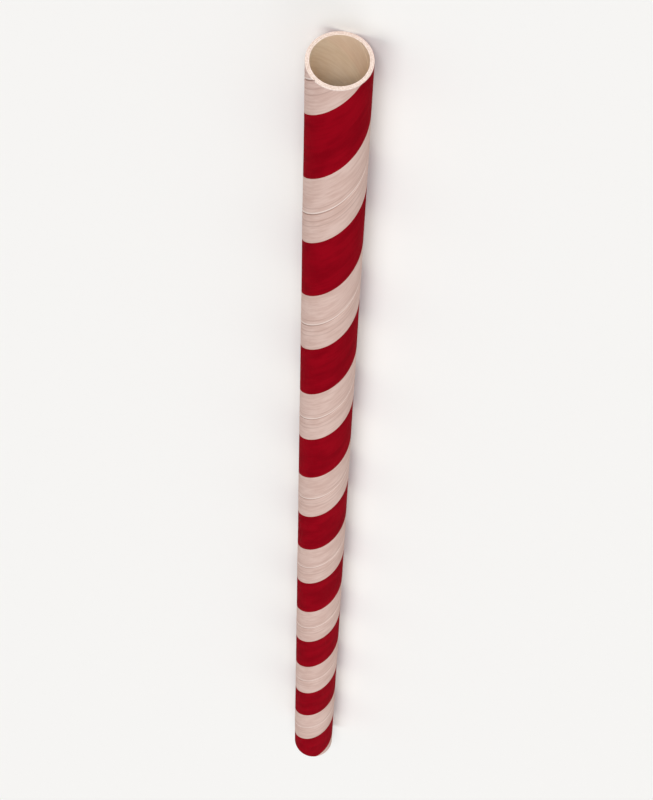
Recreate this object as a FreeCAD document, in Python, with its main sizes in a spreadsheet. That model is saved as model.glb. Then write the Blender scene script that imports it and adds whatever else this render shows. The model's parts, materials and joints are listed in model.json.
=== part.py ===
import FreeCAD, Part

import os

import Sketcher

# A paper drinking straw, lying on a table.
#
# Its wall is narrow strips of paper, wound on top of each other as right-handed helices and
# glued into one tube. Each strip lies edge to edge with its own next turn, so the outer one
# leaves a fine helical seam on the outside, and the inner one leaves a seam in the bore.
# Both ends are cut square.
#
# The tube lies along X, with its resting line on Z = 0 and the middle of that line at the
# origin. The end at low X is called the mouth. Sizes are in millimetres.

PARTS_FOLDER = "parts"

# Alias, value and meaning of each driving dimension.
SIZES = [
    ("overall_length", 197.0, "from cut end to cut end"),
    ("outer_diameter", 6.0, "outside of the wound tube"),
    ("ply_thickness", 0.14, "one strip of paper with its glue, and so the depth of a seam"),
    ("ply_count", 3, "strips wound on top of each other, which make the wall"),
    ("winding_lead", 23.0, "along the straw, in one turn of a strip"),
    ("seam_width", 0.3, "mouth of a seam, along the straw"),
    ("first_seam", 21.0, "from the mouth to the first outer seam, along the top line"),
    ("seam_stagger", 11.5, "from an outer seam back to the inner seam, along the straw"),
]

OUTER_RADIUS = "sizes.outer_diameter / 2"
BORE_RADIUS = "(sizes.outer_diameter / 2 - sizes.ply_count * sizes.ply_thickness)"

# Turns that the cut of a seam runs past each end of the tube.
SPARE_TURNS = 2

# Turns the tube's own axis from Z onto X, and its own X side up.
LAY_DOWN = FreeCAD.Rotation(FreeCAD.Vector(1, 0, 1), 180)


def make_sheet(doc):
    """Writes the driving dimensions to a spreadsheet, one row each."""
    sheet = doc.addObject("Spreadsheet::Sheet", "sizes")
    for row, (alias, value, meaning) in enumerate(SIZES, start=1):
        sheet.set(f"A{row}", alias)
        sheet.set(f"B{row}", str(value))
        sheet.setAlias(f"B{row}", alias)
        sheet.set(f"C{row}", meaning)
    doc.recompute()
    return sheet


def origin_feature(body, role):
    """Returns one of a body's own origin planes or axes, such as XY_Plane."""
    return next(f for f in body.Origin.OriginFeatures if f.Role == role)


def add_sketch(body, name, plane_role):
    """Starts a sketch of a body on one of its origin planes."""
    sketch = body.newObject("Sketcher::SketchObject", name)
    sketch.AttachmentSupport = [(origin_feature(body, plane_role), "")]
    sketch.MapMode = "FlatFace"
    return sketch


def add_size(sketch, kind, name, ends, first_value, expression):
    """Adds a named dimension to a sketch and ties it to the sheet."""
    index = sketch.addConstraint(Sketcher.Constraint(kind, *ends, first_value))
    sketch.renameConstraint(index, name)
    sketch.setExpression(f"Constraints.{name}", expression)


def draw_wall_section(sketch):
    """Draws the tube's section: two circles about the origin."""
    centre = FreeCAD.Vector(0, 0, 0)
    normal = FreeCAD.Vector(0, 0, 1)
    for name, first_radius, expression in (
        ("outside", 3.0, OUTER_RADIUS),
        ("bore", 2.5, BORE_RADIUS),
    ):
        circle = sketch.addGeometry(Part.Circle(centre, normal, first_radius), False)
        sketch.addConstraint(Sketcher.Constraint("Coincident", circle, 3, -1, 1))
        add_size(sketch, "Radius", name, (circle,), first_radius, expression)


def draw_seam_section(sketch, tip, mouth, run_in):
    """Draws the V that cuts a seam, twice as large as the seam, so that it opens clear.

    tip and mouth are expressions for the distances of its tip and its open side from the
    axis, and run_in is the expression for how far before the tube its middle lies.
    """
    corners = [FreeCAD.Vector(x, y, 0) for x, y in ((2, -3), (3, -4), (3, -2))]
    sides = [
        sketch.addGeometry(Part.LineSegment(corners[i], corners[(i + 1) % 3]), False)
        for i in range(3)
    ]
    for i in range(3):
        following = sides[(i + 1) % 3]
        sketch.addConstraint(Sketcher.Constraint("Coincident", sides[i], 2, following, 1))
    lower, open_side, upper = sides
    sketch.addConstraint(Sketcher.Constraint("Vertical", open_side))
    add_size(sketch, "DistanceX", "tip", (-1, 1, lower, 1), 2.0, tip)
    add_size(sketch, "DistanceX", "mouth", (-1, 1, open_side, 1), 3.0, mouth)
    add_size(sketch, "DistanceY", "run_in", (lower, 1, -1, 1), 3.0, run_in)
    add_size(sketch, "DistanceY", "below", (lower, 2, lower, 1), 1.0, "sizes.seam_width")
    add_size(sketch, "DistanceY", "above", (upper, 2, upper, 1), 1.0, "sizes.seam_width")


def cut_seam(body, name, tip, mouth, run_in):
    """Cuts a helical seam that runs from before the mouth to past the far end."""
    section = add_sketch(body, f"{name}_section", "XZ_Plane")
    draw_seam_section(section, tip, mouth, run_in)
    seam = body.newObject("PartDesign::SubtractiveHelix", name)
    seam.Profile = (section, [""])
    seam.ReferenceAxis = (origin_feature(body, "Z_Axis"), [""])
    seam.Mode = "pitch-height-angle"
    seam.setExpression("Pitch", "sizes.winding_lead")
    turns_past = f"{2 * SPARE_TURNS} * sizes.winding_lead"
    seam.setExpression("Height", f"sizes.overall_length + {turns_past}")
    seam.Angle = 0
    seam.LeftHanded = False
    return seam


def make_straw_tube(doc):
    """Builds the wound tube: a padded ring with a seam outside and one in the bore."""
    body = doc.addObject("PartDesign::Body", "straw_tube")
    body.Label = "straw_tube"
    section = add_sketch(body, "wall_section", "XY_Plane")
    draw_wall_section(section)
    wall = body.newObject("PartDesign::Pad", "wall")
    wall.Profile = (section, [""])
    wall.setExpression("Length", "sizes.overall_length")
    doc.recompute()
    run_in = f"{SPARE_TURNS} * sizes.winding_lead - sizes.first_seam"
    cut_seam(
        body,
        "outer_seam",
        tip=f"{OUTER_RADIUS} - sizes.ply_thickness",
        mouth=f"{OUTER_RADIUS} + sizes.ply_thickness",
        run_in=run_in,
    )
    doc.recompute()
    cut_seam(
        body,
        "inner_seam",
        tip=f"{BORE_RADIUS} + sizes.ply_thickness",
        mouth=f"{BORE_RADIUS} - sizes.ply_thickness",
        run_in=f"{run_in} + sizes.seam_stagger",
    )
    body.Placement = FreeCAD.Placement(FreeCAD.Vector(0, 0, 0), LAY_DOWN)
    body.setExpression("Placement.Base.x", "-sizes.overall_length / 2")
    body.setExpression("Placement.Base.z", OUTER_RADIUS)
    doc.recompute()
    return body


def check_objects(doc):
    """Stops if any object of the document failed to build."""
    failed = [o.Name for o in doc.Objects if {"Invalid", "Error"} & set(o.State)]
    if failed:
        raise RuntimeError(f"these objects failed: {failed}")


def export_nodes(bodies):
    """Writes each body's shape to its own file, named by its label."""
    os.makedirs(PARTS_FOLDER, exist_ok=True)
    for body in bodies:
        shape = body.Shape
        if shape.isNull() or not shape.isValid() or not shape.Solids:
            raise RuntimeError(f"{body.Label} has no valid solid")
        shape.exportStep(os.path.join(PARTS_FOLDER, f"{body.Label}.step"))
        print(f"{body.Label}: {len(shape.Solids)} solid, {shape.Volume:.2f} mm3")


def main():
    """Builds the document and writes its parts."""
    doc = FreeCAD.newDocument("paper_straw")
    make_sheet(doc)
    bodies = [make_straw_tube(doc)]
    check_objects(doc)
    export_nodes(bodies)


main()
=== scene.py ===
import json
import logging
import math
from dataclasses import dataclass
from enum import Enum
from typing import Any

import bpy
import numpy as np
from mathutils import Matrix, Vector


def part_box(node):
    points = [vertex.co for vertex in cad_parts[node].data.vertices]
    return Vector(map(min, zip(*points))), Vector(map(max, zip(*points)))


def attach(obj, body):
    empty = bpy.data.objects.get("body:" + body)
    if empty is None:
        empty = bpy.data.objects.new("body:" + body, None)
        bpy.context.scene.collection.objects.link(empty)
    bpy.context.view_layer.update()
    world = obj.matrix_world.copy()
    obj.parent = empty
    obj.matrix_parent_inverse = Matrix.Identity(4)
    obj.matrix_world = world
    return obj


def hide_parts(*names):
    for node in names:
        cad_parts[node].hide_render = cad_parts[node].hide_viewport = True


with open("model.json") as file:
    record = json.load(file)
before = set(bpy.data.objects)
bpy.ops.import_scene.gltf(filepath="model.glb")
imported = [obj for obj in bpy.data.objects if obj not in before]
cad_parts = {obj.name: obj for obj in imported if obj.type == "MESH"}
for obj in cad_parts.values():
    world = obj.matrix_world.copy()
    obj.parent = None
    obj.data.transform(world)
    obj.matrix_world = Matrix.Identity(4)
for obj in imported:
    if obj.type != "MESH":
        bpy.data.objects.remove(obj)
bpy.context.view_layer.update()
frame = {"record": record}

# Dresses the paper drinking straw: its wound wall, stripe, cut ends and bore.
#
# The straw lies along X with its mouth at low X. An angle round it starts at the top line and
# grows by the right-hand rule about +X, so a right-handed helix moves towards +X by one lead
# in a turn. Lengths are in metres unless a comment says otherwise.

LOG = logging.getLogger("straw")
NODE = "straw_tube"
MM = 0.001
TURN = 2 * math.pi

# Points of a mesh that lie closer than this are one point.
SAME_PLACE = 1e-4 * MM

# Levels of noise between which a printed or bare paper goes over into its shade.
PATCHES = (0.35, 0.65)

WHITE = (1.0, 1.0, 1.0, 1.0)


def paint(red: float, green: float, blue: float) -> tuple[float, float, float, float]:
    """Returns the linear colour of a display colour.

    In words: up to a small share the display's curve is a straight line, and from there on
    it is a power curve.

    Args:
        red: 0 to 255.
        green: 0 to 255.
        blue: 0 to 255.

    Returns:
        Linear red, green and blue, and an alpha of 1.
    """
    share = np.array((red, green, blue)) / 255
    linear = np.where(share <= 0.04045, share / 12.92, ((share + 0.055) / 1.055) ** 2.4)
    return (*(float(v) for v in linear), 1.0)


def bell(distance: np.ndarray, spread: float) -> np.ndarray:
    """Returns a bell, 1 high: e to the minus square of the distance over the spread."""
    return np.exp(-((distance / spread) ** 2))


class Surface(Enum):
    """The three surfaces of the tube, in the order of its material slots."""

    OUTSIDE = 0
    CUT_EDGE = 1
    BORE = 2


@dataclass(frozen=True)
class Winding:
    """How a strip of paper winds into the tube.

    Attributes:
        lead: Distance along the straw in one turn.
        outer_seam: From the mouth to the first outer seam, along the top line.
        stagger: From an outer seam back to the inner seam, along the straw.
        seam_width: Mouth of a seam, along the straw.
        ply: Thickness of one strip, and so the depth of a seam.
        plies: Strips in the wall.
    """

    lead: float = 23.0 * MM
    outer_seam: float = 21.0 * MM
    stagger: float = 11.5 * MM
    seam_width: float = 0.3 * MM
    ply: float = 0.14 * MM
    plies: int = 3

    @property
    def inner_seam(self) -> float:
        """From the mouth to the first inner seam, along the top line."""
        return self.outer_seam - self.stagger

    def from_seam(self, along: np.ndarray, angle: np.ndarray, first: float) -> np.ndarray:
        """Works out how far along the straw the nearest turn of a seam is.

        In words: the distance from the seam's first crossing of the top line, less the
        helix's own climb to this angle, brought into half a lead either way.

        Args:
            along: Distances from the mouth.
            angle: Angles round the straw, in radians.
            first: From the mouth to the seam's first crossing of the top line.

        Returns:
            The signed distances, up to half a lead either way.
        """
        turns = (along - first) / self.lead - angle / TURN
        return ((turns + 0.5) % 1.0 - 0.5) * self.lead

    def groove(self, away: np.ndarray) -> np.ndarray:
        """Returns the depth of a seam's V at this distance, as a share of its full depth."""
        return np.clip(1 - 2 * abs(away) / self.seam_width, 0, 1)


@dataclass(frozen=True)
class SeamSteps:
    """How finely a surface is divided at its seam and beside it.

    Attributes:
        across: Points across the seam.
        beside: Points in a row on each side of it.
        first: From the seam's side to the first of these.
        step: From each of them to the next.
    """

    across: int
    beside: int
    first: float = 0.05 * MM
    step: float = 0.11 * MM


@dataclass
class Patch:
    """A stretch of surface.

    Attributes:
        points: Its points, one row each.
        quads: Its faces, each as four indices into the points.
        slots: The material slot of each face.
    """

    points: np.ndarray
    quads: np.ndarray
    slots: np.ndarray

    @classmethod
    def joined(cls, patches: list["Patch"]) -> "Patch":
        """Puts patches in one list, with the points of their faces renumbered."""
        starts = np.cumsum([0] + [len(patch.points) for patch in patches])
        return cls(
            np.concatenate([patch.points for patch in patches]),
            np.concatenate([patch.quads + start for patch, start in zip(patches, starts)]),
            np.concatenate([patch.slots for patch in patches]),
        )

    def mesh(self, name: str) -> bpy.types.Mesh:
        """Makes a mesh of it, closed where its edges meet.

        In words: points at one place become one point, a quad with two corners at one
        place becomes a triangle, and a quad with no width is dropped.

        Args:
            name: The mesh's name.

        Returns:
            The mesh.
        """
        keys = np.round(self.points / SAME_PLACE).astype(np.int64)
        _, kept, merged = np.unique(keys, axis=0, return_index=True, return_inverse=True)
        quads = merged.reshape(-1)[self.quads]
        repeats = quads == np.roll(quads, -1, axis=1)
        whole = ~repeats.any(axis=1)
        folded = repeats.sum(axis=1) == 1
        triangles = quads[folded][~repeats[folded]].reshape(-1, 3)
        used, renumbered = np.unique(
            np.concatenate((quads[whole].ravel(), triangles.ravel())), return_inverse=True
        )
        corners = np.split(renumbered, [quads[whole].size])
        faces = corners[0].reshape(-1, 4).tolist() + corners[1].reshape(-1, 3).tolist()
        slots = np.concatenate((self.slots[whole], self.slots[folded]))
        mesh = bpy.data.meshes.new(name)
        mesh.from_pydata(self.points[kept][used].tolist(), [], faces)
        mesh.polygons.foreach_set("use_smooth", np.ones(len(faces), bool))
        mesh.polygons.foreach_set("material_index", slots)
        mesh.update()
        return mesh


@dataclass
class WoundTube:
    """The straw's one piece, as a closed surface that follows its winding.

    Attributes:
        mouth: Place of the mouth's cut plane on X.
        far: Place of the far cut plane on X.
        axis_height: Height of the axis over the table.
        radius: Outer radius.
        bore: Bore radius.
        winding: How the strips wind.
        columns: Columns of faces round the tube.
        spacing: Most length of a face along the straw, away from the seam.
        outer_steps: Division at the outer seam, fine enough for the lip and the ply lines.
        inner_steps: Division at the inner seam.
        spare_turns: Turns of the ribbon past each end, pressed onto the end band's edge.
        lip: How far a strip's edge stands up beside its seam.
        lip_offset: From the seam's middle to the crest of that lip.
        lip_spread: Reach of the lip either side of its crest.
        ply_lines: For each edge of a strip below that shows through the outer one, its
            distance from the outer seam and its height.
        line_spread: Reach of such a line either side of its crest.
        sway: Height of the slow waves of the wall.
        waves: Of each slow wave, its length along the straw, its turns round it and its
            phase in radians.
        inner_depth: Depth of the inner seam, as a share of a ply. Glue fills the rest.
        end_band: Length of the band at each end that the cutter shaped.
        band_points: Points along that band.
        corner: Radius to which the cut rounds both edges of the wall.
        corner_points: Points round such an edge, with its two ends.
        face_points: Points across the cut face.
        ply_gap: Depth of the line between two plies on the cut face.
        gap_spread: Reach of that line either side, as a share of a ply.
        fray: Height of the fibres that the cutter left on the cut face.
        fray_seeds: Seeds of the fray at the mouth and at the far end.
    """

    mouth: float
    far: float
    axis_height: float
    radius: float
    bore: float
    winding: Winding = Winding()
    columns: int = 144
    spacing: float = 2.5 * MM
    outer_steps: SeamSteps = SeamSteps(across=7, beside=20)
    inner_steps: SeamSteps = SeamSteps(across=5, beside=1)
    spare_turns: int = 2
    lip: float = 0.022 * MM
    lip_offset: float = 0.27 * MM
    lip_spread: float = 0.14 * MM
    ply_lines: tuple[tuple[float, float], ...] = (
        (1.15 * MM, 0.016 * MM),
        (-1.3 * MM, 0.010 * MM),
        (2.1 * MM, 0.008 * MM),
    )
    line_spread: float = 0.13 * MM
    sway: float = 0.006 * MM
    waves: tuple[tuple[float, int, float], ...] = ((31.0 * MM, 2, 0.0), (47.0 * MM, -3, 1.0))
    inner_depth: float = 0.5
    end_band: float = 0.3 * MM
    band_points: int = 4
    corner: float = 0.035 * MM
    corner_points: int = 4
    face_points: int = 10
    ply_gap: float = 0.02 * MM
    gap_spread: float = 0.16
    fray: float = 0.012 * MM
    fray_seeds: tuple[int, int] = (11, 12)

    def outer_radius(self, x: np.ndarray, angle: np.ndarray) -> np.ndarray:
        """Works out the outer radius.

        In words: the tube's radius, less a V at the outer seam one ply deep, plus a bell
        beside each side of the V for the lip and one for each ply line, plus slow waves.
        All of it is lowered by the height of the lip and the waves, so that no place
        stands out past the tube's radius.

        Args:
            x: Places on X.
            angle: Angles round the straw, in radians.

        Returns:
            The radius at each place.
        """
        along = x - self.mouth
        away = self.winding.from_seam(along, angle, self.winding.outer_seam)
        groove = self.winding.ply * self.winding.groove(away)
        lips = self.lip * bell(abs(away) - self.lip_offset, self.lip_spread)
        lines = sum(
            height * bell(away - place, self.line_spread) for place, height in self.ply_lines
        )
        waves = sum(
            np.sin(TURN * along / length + turns * angle + phase)
            for length, turns, phase in self.waves
        )
        lowered = self.radius - self.lip - len(self.waves) * self.sway
        return lowered - groove + lips + lines + self.sway * waves

    def bore_radius(self, x: np.ndarray, angle: np.ndarray) -> np.ndarray:
        """Returns the bore's radius at each place, which grows by a V at the inner seam."""
        away = self.winding.from_seam(x - self.mouth, angle, self.winding.inner_seam)
        return self.bore + self.winding.ply * self.inner_depth * self.winding.groove(away)

    def place(self, x: np.ndarray, angle: np.ndarray, radius: np.ndarray) -> np.ndarray:
        """Puts places on the straw into the frame.

        In words: X is kept, Y is minus the radius times the sine of the angle, and Z is
        the axis's height plus the radius times its cosine.

        Args:
            x: Places on X.
            angle: Angles round the straw, in radians.
            radius: Distances from the axis.

        Returns:
            The points.
        """
        across = -radius * np.sin(angle)
        up = self.axis_height + radius * np.cos(angle)
        return np.stack((x, across, up), axis=-1)

    def column_angles(self) -> np.ndarray:
        """Returns the angle round the straw of each column of points."""
        return np.arange(self.columns) * TURN / self.columns

    def ring_quads(self, rows: int, skipped: int = 0) -> np.ndarray:
        """Joins rows of points that go round the tube with quads.

        In words: a quad joins a point, the next one of its row and the two in the next
        row, and the last point of a row is joined to the first of the same or a later one.

        Args:
            rows: Rows of quads.
            skipped: How many rows further on a row's last point finds its neighbour.

        Returns:
            Four indices for each quad.
        """
        row, column = np.meshgrid(np.arange(rows), np.arange(self.columns), indexing="ij")
        following = (column + 1) % self.columns
        over = np.where(following == 0, skipped, 0)
        here = row * self.columns + column
        beside = (row + over) * self.columns + following
        quads = np.stack((here, beside, beside + self.columns, here + self.columns), axis=-1)
        return quads.reshape(-1, 4)

    def stations(self, steps: SeamSteps) -> np.ndarray:
        """Divides one turn of a strip from its seam to the next.

        In words: even points across the seam, even points in a row on each side of it,
        and wide ones between these rows.

        Args:
            steps: The division at the seam and beside it.

        Returns:
            The places of the points, as shares of the lead from the seam.
        """
        half = self.winding.seam_width / 2
        seam = np.linspace(-half, half, steps.across)
        side = half + steps.first + steps.step * np.arange(steps.beside)
        rest = self.winding.lead - 2 * side[-1]
        wide = side[-1] + np.linspace(0, rest, int(rest / self.spacing) + 2)[1:-1]
        whole = np.concatenate((seam, side, wide, self.winding.lead - side[::-1]))
        return whole / self.winding.lead

    def wound_patch(self, surface: Surface) -> Patch:
        """Works out the outside or the bore as one helical ribbon joined to itself.

        In words: a row is a line that keeps its distance from the seam, so it climbs by
        one lead in a turn, and the last column of a row meets the first column of the row
        one turn on. Rows that run past an end are pressed onto the edge of its band.

        Args:
            surface: Which of the two.

        Returns:
            The patch.
        """
        outside = surface is Surface.OUTSIDE
        first = self.winding.outer_seam if outside else self.winding.inner_seam
        shares = self.stations(self.outer_steps if outside else self.inner_steps)
        turns_in_all = math.ceil((self.far - self.mouth) / self.winding.lead)
        turns = np.arange(-self.spare_turns, turns_in_all + self.spare_turns)
        rows = (turns[:, None] + shares).ravel()
        angle = self.column_angles()
        x = self.mouth + first + self.winding.lead * (rows[:, None] + angle / TURN)
        x = np.clip(x, self.mouth + self.end_band, self.far - self.end_band)
        angle = np.broadcast_to(angle, x.shape)
        radius = (self.outer_radius if outside else self.bore_radius)(x, angle)
        points = self.place(x, angle, radius).reshape(-1, 3)
        quads = self.ring_quads(len(rows) - len(shares) - 1, skipped=len(shares))
        quads = quads if outside else quads[:, ::-1]
        return Patch(points, quads, np.full(len(quads), surface.value))

    def end_profile(self) -> tuple[np.ndarray, np.ndarray]:
        """Returns the section of the wall's end, from the outside round to the bore.

        In words: straight along the outside, a quarter circle, straight across the cut, a
        quarter circle and straight along the bore.

        Returns:
            Depths below the cut plane, and shares of the wall from the outside.
        """
        corner = self.corner / (self.radius - self.bore)
        run = np.linspace(self.end_band, self.corner, self.band_points)
        arc = np.linspace(0, math.pi / 2, self.corner_points)[1:-1]
        corner_depth = self.corner * (1 - np.sin(arc))
        corner_share = corner * (1 - np.cos(arc))
        face = np.linspace(corner, 1 - corner, self.face_points)
        depth = np.concatenate((run, corner_depth, 0 * face, corner_depth[::-1], run[::-1]))
        share = np.concatenate((0 * run, corner_share, face, 1 - corner_share[::-1], 0 * run + 1))
        return depth, share

    def cut_patch(self, at_mouth: bool) -> Patch:
        """Works out one cut end as its section carried round the tube.

        In words: each point of the section lies at its share of the wall between the outer
        and the bore radius at its place. On the cut face it is pulled in by a bell at each
        line between two plies and by smoothed random fray.

        Args:
            at_mouth: Whether it is the end at the mouth.

        Returns:
            The patch.
        """
        depth, share = self.end_profile()
        plies = self.winding.plies
        gaps = sum(bell(share * plies - ply, self.gap_spread) for ply in range(1, plies))
        on_face = (share > 0) & (share < 1)
        seed = self.fray_seeds[0 if at_mouth else 1]
        noise = np.random.default_rng(seed).random((len(depth), self.columns))
        noise = (noise + np.roll(noise, 1, axis=1) + np.roll(noise, -1, axis=1)) / 3
        pulled = (self.ply_gap * gaps * on_face)[:, None] + self.fray * noise * on_face[:, None]
        below = depth[:, None] + pulled
        x = self.mouth + below if at_mouth else self.far - below
        angle = np.broadcast_to(self.column_angles(), x.shape)
        outer = self.outer_radius(x, angle)
        radius = outer + (self.bore_radius(x, angle) - outer) * share[:, None]
        points = self.place(x, angle, radius).reshape(-1, 3)
        # The mouth's faces are turned over, and still start from their first corner.
        quads = np.roll(self.ring_quads(len(depth) - 1)[:, ::-1], 1, axis=1)
        quads = quads if at_mouth else quads[:, ::-1]
        # Two rows on the outside have shares that add up to 0, and two in the bore 2.
        both = share[:-1] + share[1:]
        slots = np.where(both == 0, Surface.OUTSIDE.value, Surface.CUT_EDGE.value)
        slots = np.where(both == 2, Surface.BORE.value, slots)
        return Patch(points, quads, np.repeat(slots, self.columns))

    def build(self, name: str) -> bpy.types.Object:
        """Makes the tube of its two wound and its two cut surfaces.

        Args:
            name: The name of the object and its mesh.

        Returns:
            The object.
        """
        patches = [
            self.wound_patch(Surface.OUTSIDE),
            self.wound_patch(Surface.BORE),
            self.cut_patch(at_mouth=True),
            self.cut_patch(at_mouth=False),
        ]
        piece = bpy.data.objects.new(name, Patch.joined(patches).mesh(name))
        bpy.context.scene.collection.objects.link(piece)
        return piece


class Number:
    """A number at a node's socket. Python's operators on it add Math nodes."""

    def __init__(self, graph: "Graph", socket: bpy.types.NodeSocket) -> None:
        """Wraps an output socket of a graph."""
        self.graph = graph
        self.socket = socket

    def math(self, operation: str, *others: "Number | float", first: Any = None) -> "Number":
        """Returns the result of a Math node on this number and others.

        Args:
            operation: The Math node's operation.
            others: Its further inputs.
            first: An input that goes before this number, if any.

        Returns:
            What the node gives.
        """
        inputs = [self, *others] if first is None else [first, self, *others]
        node = self.graph.node("Math", {"operation": operation}, dict(enumerate(inputs)))
        return Number(self.graph, node.outputs[0])

    def __add__(self, other: "Number | float") -> "Number":
        """Adds."""
        return self.math("ADD", other)

    __radd__ = __add__

    def __sub__(self, other: "Number | float") -> "Number":
        """Subtracts."""
        return self.math("SUBTRACT", other)

    def __rsub__(self, other: float) -> "Number":
        """Subtracts this from a plain number."""
        return self.math("SUBTRACT", first=other)

    def __mul__(self, other: "Number | float") -> "Number":
        """Multiplies."""
        return self.math("MULTIPLY", other)

    __rmul__ = __mul__

    def __truediv__(self, other: "Number | float") -> "Number":
        """Divides."""
        return self.math("DIVIDE", other)

    def __rtruediv__(self, other: float) -> "Number":
        """Divides a plain number by this."""
        return self.math("DIVIDE", first=other)

    def __abs__(self) -> "Number":
        """Drops the sign."""
        return self.math("ABSOLUTE")

    def floor(self) -> "Number":
        """Rounds down."""
        return self.math("FLOOR")

    def fall(self, low: float, high: float) -> "Number":
        """Goes smoothly from 1 at low to 0 at high, and stays there past both."""
        node = self.graph.node(
            "MapRange",
            {"interpolation_type": "SMOOTHSTEP"},
            {"Value": self, "From Min": low, "From Max": high, "To Min": 1.0, "To Max": 0.0},
        )
        return Number(self.graph, node.outputs["Result"])


class Graph:
    """A material's or the world's node tree, and short ways to add to it."""

    # Places of the Mix node's inputs and output for colours.
    SHARE, LOW, HIGH, MIXED = 0, 6, 7, 2

    def __init__(self, owner: bpy.types.Material | bpy.types.World) -> None:
        """Clears the owner's node tree."""
        owner.use_nodes = True
        self.tree = owner.node_tree
        self.tree.nodes.clear()

    def node(
        self, kind: str, settings: dict[str, Any] | None = None, inputs: dict | None = None
    ) -> bpy.types.Node:
        """Adds a node.

        Args:
            kind: The node's type without the ShaderNode in front.
            settings: Its settings, put in first.
            inputs: A value, Number or output socket for each input, by name or place.

        Returns:
            The node.
        """
        node = self.tree.nodes.new(f"ShaderNode{kind}")
        for name, value in (settings or {}).items():
            setattr(node, name, value)
        for name, value in (inputs or {}).items():
            value = value.socket if isinstance(value, Number) else value
            if isinstance(value, bpy.types.NodeSocket):
                self.tree.links.new(value, node.inputs[name])
            else:
                node.inputs[name].default_value = value
        return node

    def blend(self, share: Number | float, low: Any, high: Any) -> bpy.types.NodeSocket:
        """Returns the colour between low, at a share of 0, and high, at 1."""
        inputs = {self.SHARE: share, self.LOW: low, self.HIGH: high}
        return self.node("Mix", {"data_type": "RGBA"}, inputs).outputs[self.MIXED]

    def noise(self, at: bpy.types.NodeSocket, scale: float, detail: float) -> Number:
        """Returns smooth noise about 0.5 at a place, with this many cells to its unit."""
        node = self.node("TexNoise", {}, {"Vector": at, "Scale": scale, "Detail": detail})
        return Number(self, node.outputs["Fac"])

    def vector(self, x: Any, y: Any, z: Any) -> bpy.types.NodeSocket:
        """Returns a vector of three numbers."""
        return self.node("CombineXYZ", {}, {0: x, 1: y, 2: z}).outputs[0]

    def bump(self, height: Number, reach: float) -> bpy.types.NodeSocket:
        """Returns the normal of a relief whose height of 1 stands up by reach."""
        node = self.node("Bump", {}, {"Strength": 1.0, "Distance": reach, "Height": height})
        return node.outputs[0]

    def finish(self, shader: dict[str, Any]) -> None:
        """Ends a material with a Principled shader of these inputs."""
        bsdf = self.node("BsdfPrincipled", {}, shader)
        self.node("OutputMaterial", {}, {"Surface": bsdf.outputs[0]})


class StrawPlace:
    """Where a point of the straw lies, in millimetres, read from Object coordinates.

    Attributes:
        graph: The graph that works it out.
        object: The Object coordinates themselves, in metres.
        along: Distance from the mouth.
        to_end: Distance from the nearer end.
        angle: Angle round the straw, in radians.
        radius: Distance from the axis.
        lead: The winding's lead.
    """

    def __init__(self, graph: Graph, tube: WoundTube) -> None:
        """Adds the nodes that work the place out.

        Args:
            graph: The material's graph.
            tube: The tube.
        """
        self.graph = graph
        self.object = graph.node("TexCoord").outputs["Object"]
        apart = graph.node("SeparateXYZ", {}, {0: self.object})
        x, y, z = (Number(graph, s) for s in apart.outputs)
        self.along = (x - tube.mouth) / MM
        self.to_end = self.along.math("MINIMUM", (tube.far - x) / MM)
        up = z - tube.axis_height
        self.angle = (y * -1).math("ARCTAN2", up)
        self.radius = (y * y + up * up).math("SQRT") / MM
        self.lead = tube.winding.lead / MM

    def turns(self, first: float) -> Number:
        """Returns the turns from a helix that crosses the top line first from the mouth."""
        return (self.along - first / MM) / self.lead - self.angle / TURN

    def away(self, first: float) -> Number:
        """Returns the signed distance along the straw from that helix."""
        turns = self.turns(first)
        return (turns - (turns + 0.5).floor()) * self.lead

    def on_strip(self, first: float, stretch: float) -> bpy.types.NodeSocket:
        """Works out the place on the unwound strip whose edge is that helix.

        Args:
            first: From the mouth to the helix's first crossing of the top line.
            stretch: How many times longer along the strip a pattern comes out than across.

        Returns:
            The places along the strip, across it and out from the axis.
        """
        turns = self.turns(first)
        turn = turns.floor()
        run = (self.angle + turn * TURN) * (self.lead / TURN / stretch)
        return self.graph.vector(run, (turns - turn) * self.lead, self.radius)


@dataclass(frozen=True)
class Grain:
    """Smooth noise that follows a strip round the straw.

    Attributes:
        stretch: How many times longer along the strip it comes out than across.
        scale: Cells of the noise in one millimetre across the strip.
        detail: Finer layers on top of the first.
    """

    stretch: float
    scale: float
    detail: float

    def on(self, at: StrawPlace, first: float) -> Number:
        """Returns the noise on the strip whose edge crosses the top line first there."""
        return at.graph.noise(at.on_strip(first, self.stretch), self.scale, self.detail)


@dataclass(frozen=True)
class Mark:
    """A line or band of another colour, with soft sides.

    Its distances are counted like the number that it is drawn by, or in multiples of a
    unit of that number.

    Attributes:
        full: Distance from its middle up to which it shows in full.
        gone: Distance from its middle at which it has faded out.
        share: Share of its own colour where it shows in full.
    """

    full: float
    gone: float
    share: float

    def over(
        self, ground: Any, colour: Any, distance: Number, unit: float = 1.0
    ) -> bpy.types.NodeSocket:
        """Returns the ground with this colour on it, by the distance from its middle."""
        share = distance.fall(unit * self.full, unit * self.gone) * self.share
        return distance.graph.blend(share, ground, colour)


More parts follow.
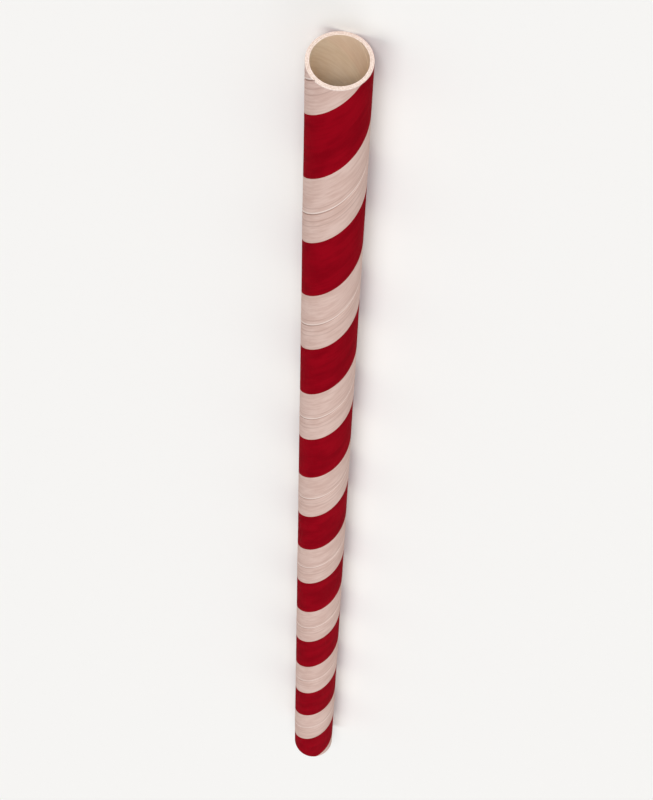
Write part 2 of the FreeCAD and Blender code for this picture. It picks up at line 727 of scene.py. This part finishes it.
@dataclass(frozen=True)
class Stripe:
    """The printed stripe.

    Attributes:
        start: From the mouth to the stripe's first edge, along the top line.
        share: Share of the lead that the ink covers.
        wobble: How far the ink's edge strays, in millimetres.
        edge: Width over which the ink ends, in millimetres.
        grain: The fibres along which it strays.
    """

    start: float = 3.45 * MM
    share: float = 0.476
    wobble: float = 0.05
    edge: float = 0.05
    grain: Grain = Grain(stretch=2.0, scale=3.0, detail=4.0)

    def cover(self, at: StrawPlace, soft: float = 0.0) -> Number:
        """Works out where the ink is.

        Args:
            at: The place on the straw.
            soft: Further width over which the stripe fades, in millimetres.

        Returns:
            1 on the stripe and 0 off it.
        """
        half = self.share * at.lead / 2
        away = abs(at.away(self.start + half * MM))
        fibre = self.grain.on(at, self.start) - 0.5
        reach = (self.edge + soft) / 2
        return (away + fibre * (2 * self.wobble)).fall(half - reach, half + reach)


@dataclass(frozen=True)
class PrintedPaper:
    """White paper with the stripe printed on it, as on the outside.

    Attributes:
        paper: The bare paper.
        shade: The paper's darker fibres.
        ink: The stripe.
        ink_shade: The stripe's denser patches.
        seam: The glue and painted shadow in a seam, and the painted shadow beside each ply line.
        painted_highlight: The painted highlight on the strip's edge beside its seam, and on a
            band at each cut end.
        stripe: The stripe's place.
        fibres: The paper's fibres.
        clouds: The paper's cloudy patches.
        fibre_share: Share of the fibres in the paper's pattern. The rest is clouds.
        ink_fibre_share: The same in the ink's pattern.
        strip_edge_highlight: The painted highlight along the strip's raised edge on the mouth
            side of its seam, in millimetres.
        strip_edge_place: Its middle, in half widths of the seam from the seam's.
        ply_line: The painted shadow beside each line of a strip below, in millimetres.
        ply_line_shift: From such a line's crest to the middle of its shadow, in millimetres.
        in_seam: The colour in the seam, in half widths of the seam.
        rim_highlight: Painted highlight in a band at each cut end, widening the bright ring of
            the cut face, in millimetres from the cut end.
        rim_wobble: How far the edge of that band strays, in millimetres.
        roughness: The bare paper's roughness where its fibres are lowest.
        ink_smooth: How much smoother the ink makes it.
        fibre_rough: How much rougher the highest fibres are.
        ink_fill: Share of the fibres' height that the ink fills.
        relief: Height of the fibres.
        gloss: The shader's level of plain reflection.
    """

    paper: tuple = paint(220, 193, 183)
    shade: tuple = paint(206, 175, 164)
    ink: tuple = paint(148, 6, 24)
    ink_shade: tuple = paint(130, 3, 19)
    seam: tuple = paint(150, 116, 104)
    painted_highlight: tuple = paint(240, 226, 218)
    stripe: Stripe = Stripe()
    fibres: Grain = Grain(stretch=5.0, scale=3.2, detail=5.0)
    clouds: Grain = Grain(stretch=1.5, scale=0.45, detail=2.0)
    fibre_share: float = 0.6
    ink_fibre_share: float = 0.4
    strip_edge_highlight: Mark = Mark(full=0.02, gone=0.2, share=0.75)
    strip_edge_place: float = 1.9
    ply_line: Mark = Mark(full=0.02, gone=0.16, share=0.3)
    ply_line_shift: float = 0.16
    in_seam: Mark = Mark(full=0.2, gone=1.1, share=0.6)
    rim_highlight: Mark = Mark(full=0.05, gone=0.2, share=0.85)
    rim_wobble: float = 0.3
    roughness: float = 0.86
    ink_smooth: float = 0.12
    fibre_rough: float = 0.08
    ink_fill: float = 0.5
    relief: float = 0.008 * MM
    gloss: float = 0.006

    def material(self, tube: WoundTube) -> bpy.types.Material:
        """Makes the material.

        Args:
            tube: The tube that it is for.

        Returns:
            The material.
        """
        material = bpy.data.materials.new("printed_paper")
        graph = Graph(material)
        at = StrawPlace(graph, tube)
        first = tube.winding.outer_seam
        fibres = self.fibres.on(at, first)
        clouds = self.clouds.on(at, first)
        covered = self.stripe.cover(at)
        paper = self.mottled(fibres, clouds, self.fibre_share, self.paper, self.shade)
        ink = self.mottled(fibres, clouds, self.ink_fibre_share, self.ink, self.ink_shade)
        colour = graph.blend(covered, paper, ink)
        half = tube.winding.seam_width / MM / 2
        away = at.away(first)
        # Painted highlight: a lighter line along the strip's raised edge on the mouth side of the
        # seam, where the light catches it.
        beside = abs(away + self.strip_edge_place * half)
        colour = self.strip_edge_highlight.over(colour, self.painted_highlight, beside)
        # Painted shadow: a darker line on one side of each ply line's ridge.
        for line, _ in tube.ply_lines:
            beside = abs(away - line / MM - self.ply_line_shift)
            colour = self.ply_line.over(colour, self.seam, beside)
        # Partly the seam's glue, partly painted shadow in its groove.
        colour = self.in_seam.over(colour, self.seam, abs(away), half)
        # Painted highlight: a lighter band at each cut end, widening the bright ring of the lit
        # cut face.
        to_rim = at.to_end + (fibres - 0.5) * self.rim_wobble
        colour = self.rim_highlight.over(colour, self.painted_highlight, to_rim)
        rough = self.roughness - covered * self.ink_smooth + fibres * self.fibre_rough
        height = fibres * (1 - covered * self.ink_fill)
        graph.finish(
            {
                "Base Color": colour,
                "Roughness": rough,
                "Normal": graph.bump(height, self.relief),
                "Specular IOR Level": self.gloss,
            }
        )
        return material

    def mottled(
        self, fibres: Number, clouds: Number, share: float, colour: tuple, shade: tuple
    ) -> bpy.types.NodeSocket:
        """Returns a colour that its shade takes over in patches, this share of them fibres."""
        patches = fibres * share + clouds * (1 - share)
        return fibres.graph.blend(patches.fall(*PATCHES), colour, shade)


@dataclass(frozen=True)
class CutPaper:
    """The raw edge of the wall, where the cutter went through the plies.

    Attributes:
        fibre: The torn white fibres.
        shade: Painted shade in the hollows between them, where the fibres' relief is lowest.
        gap: The line of glue between two plies.
        ink: The ink that shows at the outer edge.
        stripe: The stripe's place.
        scale: Cells of the fibres' noise in a metre.
        detail: Finer layers on top of the first.
        patches: Levels of that noise between which the fibres go over into their shade.
        glue: The line between two plies, in plies.
        skin: The ink's band at the outer edge, in plies below the outside.
        roughness: The edge's roughness.
        relief: Height of the fibres.
        gloss: The shader's level of plain reflection.
    """

    fibre: tuple = paint(237, 220, 210)
    shade: tuple = paint(221, 199, 186)
    gap: tuple = paint(192, 161, 143)
    ink: tuple = paint(186, 40, 50)
    stripe: Stripe = Stripe()
    scale: float = 5200.0
    detail: float = 4.0
    patches: tuple[float, float] = (0.35, 0.62)
    glue: Mark = Mark(full=0.05, gone=0.22, share=0.45)
    skin: Mark = Mark(full=0.1, gone=0.4, share=0.8)
    roughness: float = 0.9
    relief: float = 0.03 * MM
    gloss: float = 0.2

    def material(self, tube: WoundTube) -> bpy.types.Material:
        """Makes the material.

        Args:
            tube: The tube that it is for.

        Returns:
            The material.
        """
        material = bpy.data.materials.new("cut_paper")
        graph = Graph(material)
        at = StrawPlace(graph, tube)
        fibres = graph.noise(at.object, self.scale, self.detail)
        # Painted shade: darker where the noise, and so the relief, is low.
        colour = graph.blend(fibres.fall(*self.patches), self.fibre, self.shade)
        depth = (tube.radius / MM - at.radius) / (tube.winding.ply / MM)
        for ply in range(1, tube.winding.plies):
            colour = self.glue.over(colour, self.gap, abs(depth - ply))
        skin = depth.fall(self.skin.full, self.skin.gone) * self.stripe.cover(at)
        colour = graph.blend(skin * self.skin.share, colour, self.ink)
        graph.finish(
            {
                "Base Color": colour,
                "Roughness": self.roughness,
                "Normal": graph.bump(fibres, self.relief),
                "Specular IOR Level": self.gloss,
            }
        )
        return material


@dataclass(frozen=True)
class BorePaper:
    """The unprinted paper of the inmost strip.

    Attributes:
        paper: The bare paper.
        shade: Its darker fibres.
        through: Painted red light behind the stripe, as if the lamps' light came in through its
            ink.
        seam: The glue in the inner seam.
        stripe: The stripe's place.
        fibres: The paper's fibres.
        through_soft: Width over which the tint fades, in millimetres.
        through_share: Share of the tint in the colour behind the stripe.
        in_seam: The colour in the seam, in half widths of the seam.
        roughness: The paper's roughness.
        relief: Height of the fibres.
        gloss: The shader's level of plain reflection.
    """

    paper: tuple = paint(236, 217, 192)
    shade: tuple = paint(229, 208, 181)
    through: tuple = paint(236, 204, 181)
    seam: tuple = paint(206, 178, 150)
    stripe: Stripe = Stripe()
    fibres: Grain = Grain(stretch=5.0, scale=3.0, detail=5.0)
    through_soft: float = 1.2
    through_share: float = 0.35
    in_seam: Mark = Mark(full=0.3, gone=1.2, share=0.7)
    roughness: float = 0.8
    relief: float = 0.008 * MM
    gloss: float = 0.1

    def material(self, tube: WoundTube) -> bpy.types.Material:
        """Makes the material.

        Args:
            tube: The tube that it is for.

        Returns:
            The material.
        """
        material = bpy.data.materials.new("bore_paper")
        graph = Graph(material)
        at = StrawPlace(graph, tube)
        first = tube.winding.inner_seam
        fibres = self.fibres.on(at, first)
        colour = graph.blend(fibres.fall(*PATCHES), self.paper, self.shade)
        # Painted light: the bore is tinted red behind the stripe, as if light came in through the
        # ink.
        behind = self.stripe.cover(at, soft=self.through_soft)
        colour = graph.blend(behind * self.through_share, colour, self.through)
        half = tube.winding.seam_width / MM / 2
        colour = self.in_seam.over(colour, self.seam, abs(at.away(first)), half)
        graph.finish(
            {
                "Base Color": colour,
                "Roughness": self.roughness,
                "Normal": graph.bump(fibres, self.relief),
                "Specular IOR Level": self.gloss,
            }
        )
        return material


@dataclass(frozen=True)
class TablePaint:
    """The plain pale table top.

    Attributes:
        colour: Its paint.
        roughness: Its roughness.
        gloss: The shader's level of plain reflection.
    """

    colour: tuple = paint(247, 246, 244)
    roughness: float = 0.9
    gloss: float = 0.02

    def material(self) -> bpy.types.Material:
        """Makes the material."""
        material = bpy.data.materials.new("table_paint")
        Graph(material).finish(
            {
                "Base Color": self.colour,
                "Roughness": self.roughness,
                "Specular IOR Level": self.gloss,
            }
        )
        return material


@dataclass(frozen=True)
class PhotoCamera:
    """The camera where the photograph's stood, seen from the straw, and drawn closer.

    Attributes:
        width: Width of the photograph, in pixels.
        height: Height of the photograph, in pixels.
        focal: The photograph's focal length, in pixels.
        mouth_pixel: Where the middle of the mouth is in the photograph.
        mouth_distance: From the camera to the middle of the mouth.
        far_pixel: Where the middle of the far end would be.
        far_distance: From the camera to the middle of the far end.
        turn: Angle round the straw, from the top line, at which the camera stands, in degrees.
        fill: Share of the picture's height that the straw's axis takes up.
        sensor: The camera's sensor along the picture's longer side, in millimetres.
        nearest: The least distance at which the camera sees things.
    """

    width: float = 653
    height: float = 800
    focal: float = 980
    mouth_pixel: tuple[float, float] = (308.8, 284.5)
    mouth_distance: float = 203.2 * MM
    far_pixel: tuple[float, float] = (297.8, 565.3)
    far_distance: float = 384.2 * MM
    turn: float = -12.5
    fill: float = 0.85
    sensor: float = 36.0
    nearest: float = 1.0 * MM

    def ray(self, pixel: tuple[float, float]) -> Vector:
        """Works out the ray of a pixel.

        Args:
            pixel: Its place from the left and from the top.

        Returns:
            The unit ray, with X right, Y up and the view along -Z.
        """
        across = (pixel[0] - self.width / 2) / self.focal
        up = (self.height / 2 - pixel[1]) / self.focal
        return Vector((across, up, -1)).normalized()

    def build(self, tube: WoundTube) -> bpy.types.Object:
        """Makes the camera.

        In words: the two ends' rays and distances give the straw's axis in the camera's
        frame. World X lies along it. The direction square to it in the plane that also
        holds the camera, on the camera's side, becomes world Z carried round X by the turn.
        The camera then turns the shortest way to the middle of the two rays.

        Args:
            tube: The tube, whose mouth the camera is placed from.

        Returns:
            The camera, which is also made the scene's.
        """
        mouth_ray, far_ray = self.ray(self.mouth_pixel), self.ray(self.far_pixel)
        mouth = mouth_ray * self.mouth_distance
        along = (far_ray * self.far_distance - mouth).normalized()
        up = (along * mouth.dot(along) - mouth).normalized()
        round_straw = Matrix.Rotation(math.radians(self.turn), 3, "X")
        to_world = round_straw @ Matrix((along, up.cross(along), up))
        middle = (mouth_ray + far_ray).normalized()
        turned = Vector((0, 0, -1)).rotation_difference(middle).to_matrix()
        at = Vector((tube.mouth, 0, tube.axis_height)) - to_world @ mouth
        data = bpy.data.cameras.new("photo_camera")
        half_angle = mouth_ray.angle(far_ray) / 2
        data.lens = self.sensor * self.fill / 2 / math.tan(half_angle)
        data.sensor_width = self.sensor
        data.clip_start = self.nearest
        camera = bpy.data.objects.new("photo_camera", data)
        camera.matrix_world = Matrix.Translation(at) @ (to_world @ turned).to_4x4()
        bpy.context.scene.collection.objects.link(camera)
        bpy.context.scene.camera = camera
        return camera


@dataclass(frozen=True)
class SoftLamp:
    """A wide and distant studio lamp, which lights the whole table alike.

    Attributes:
        name: The lamp's name.
        towards: The direction from the straw to the lamp.
        light: Its light on a surface that faces it, in watts per square metre.
        spread: The angle that it takes up as seen from the straw, in degrees.
    """

    name: str
    towards: tuple[float, float, float]
    light: float
    spread: float

    def build(self) -> None:
        """Makes the lamp and turns it to the straw."""
        data = bpy.data.lights.new(self.name, "SUN")
        data.energy = self.light
        data.angle = math.radians(self.spread)
        lamp = bpy.data.objects.new(self.name, data)
        towards = Vector(self.towards)
        turned = towards.to_track_quat("Z", "Y").to_matrix()
        lamp.matrix_world = Matrix.Translation(towards) @ turned.to_4x4()
        bpy.context.scene.collection.objects.link(lamp)


@dataclass(frozen=True)
class Studio:
    """The table, the lamps and the room's even light.

    Attributes:
        table_side: Side of the square table top.
        room_light: Strength of the room's light on things.
        room_white: Strength of the room as it is seen, also in gloss.
        lamps: The lamps.
    """

    table_side: float = 60.0
    room_light: float = 0.32
    room_white: float = 0.93
    lamps: tuple[SoftLamp, ...] = (
        SoftLamp("front", towards=(-0.86, 0.06, 0.5), light=2.2, spread=24.0),
        SoftLamp("key", towards=(0.12, -0.25, 0.96), light=0.8, spread=36.0),
        SoftLamp("back", towards=(0.85, 0.45, 0.41), light=0.6, spread=36.0),
    )

    def build(self) -> None:
        """Makes the studio."""
        half = self.table_side / 2
        corners = [(-half, -half, 0), (half, -half, 0), (half, half, 0), (-half, half, 0)]
        mesh = bpy.data.meshes.new("table")
        mesh.from_pydata(corners, [], [(0, 1, 2, 3)])
        mesh.materials.append(TablePaint().material())
        table = bpy.data.objects.new("table", mesh)
        bpy.context.scene.collection.objects.link(table)
        for lamp in self.lamps:
            lamp.build()
        self.room()

    def room(self) -> None:
        """Lights the room evenly, and shows it paler to the camera and to gloss."""
        world = bpy.data.worlds.new("room")
        bpy.context.scene.world = world
        graph = Graph(world)
        path = graph.node("LightPath").outputs
        seen = Number(graph, path["Is Camera Ray"]) + Number(graph, path["Is Glossy Ray"])
        seen = (seen + Number(graph, path["Is Transmission Ray"])).math("MINIMUM", 1.0)
        strength = seen * (self.room_white - self.room_light) + self.room_light
        light = graph.node("Background", {}, {"Color": WHITE, "Strength": strength})
        graph.node("OutputWorld", {}, {"Surface": light.outputs[0]})


@dataclass
class Straw:
    """The whole straw: its wound tube, and the finish of each of its surfaces.

    Attributes:
        tube: The tube.
        outside: The finish of the outside.
        cut_edge: The finish of both cut ends.
        inside: The finish of the bore.
    """

    tube: WoundTube
    outside: PrintedPaper = PrintedPaper()
    cut_edge: CutPaper = CutPaper()
    inside: BorePaper = BorePaper()

    @classmethod
    def in_frame(cls) -> "Straw":
        """Takes the straw's place from its solid and its bore from the record.

        Returns:
            The straw.
        """
        low, high = (Vector(corner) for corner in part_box(NODE))
        bore = next(m for m in frame["record"]["mounts"] if m["name"] == "bore")
        tube = WoundTube(
            mouth=low.x,
            far=high.x,
            axis_height=(low.z + high.z) / 2,
            radius=(high.z - low.z) / 2,
            bore=bore["dims"]["r_mm"] * MM,
        )
        return cls(tube)

    def dress(self, piece: bpy.types.Object) -> None:
        """Gives the piece its materials, in the order of its surfaces."""
        for finish in (self.outside, self.cut_edge, self.inside):
            piece.data.materials.append(finish.material(self.tube))

    def build(self) -> bpy.types.Object:
        """Builds and dresses the straw's one piece, which stands for its solid.

        Returns:
            The finished piece.
        """
        piece = self.tube.build("straw_paper")
        self.dress(piece)
        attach(piece, "root")
        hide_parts(NODE)
        return piece


def main() -> None:
    """Builds the scene in order."""
    logging.basicConfig(level=logging.INFO, format="%(name)s: %(message)s")
    bpy.context.scene.view_settings.view_transform = "Standard"
    straw = Straw.in_frame()
    piece = straw.build()
    LOG.info("%s: %d faces", piece.name, len(piece.data.polygons))
    camera = PhotoCamera().build(straw.tube)
    LOG.info("%s: lens %.1f mm at %s", camera.name, camera.data.lens, tuple(camera.location))
    Studio().build()


if __name__ == "__main__":
    main()
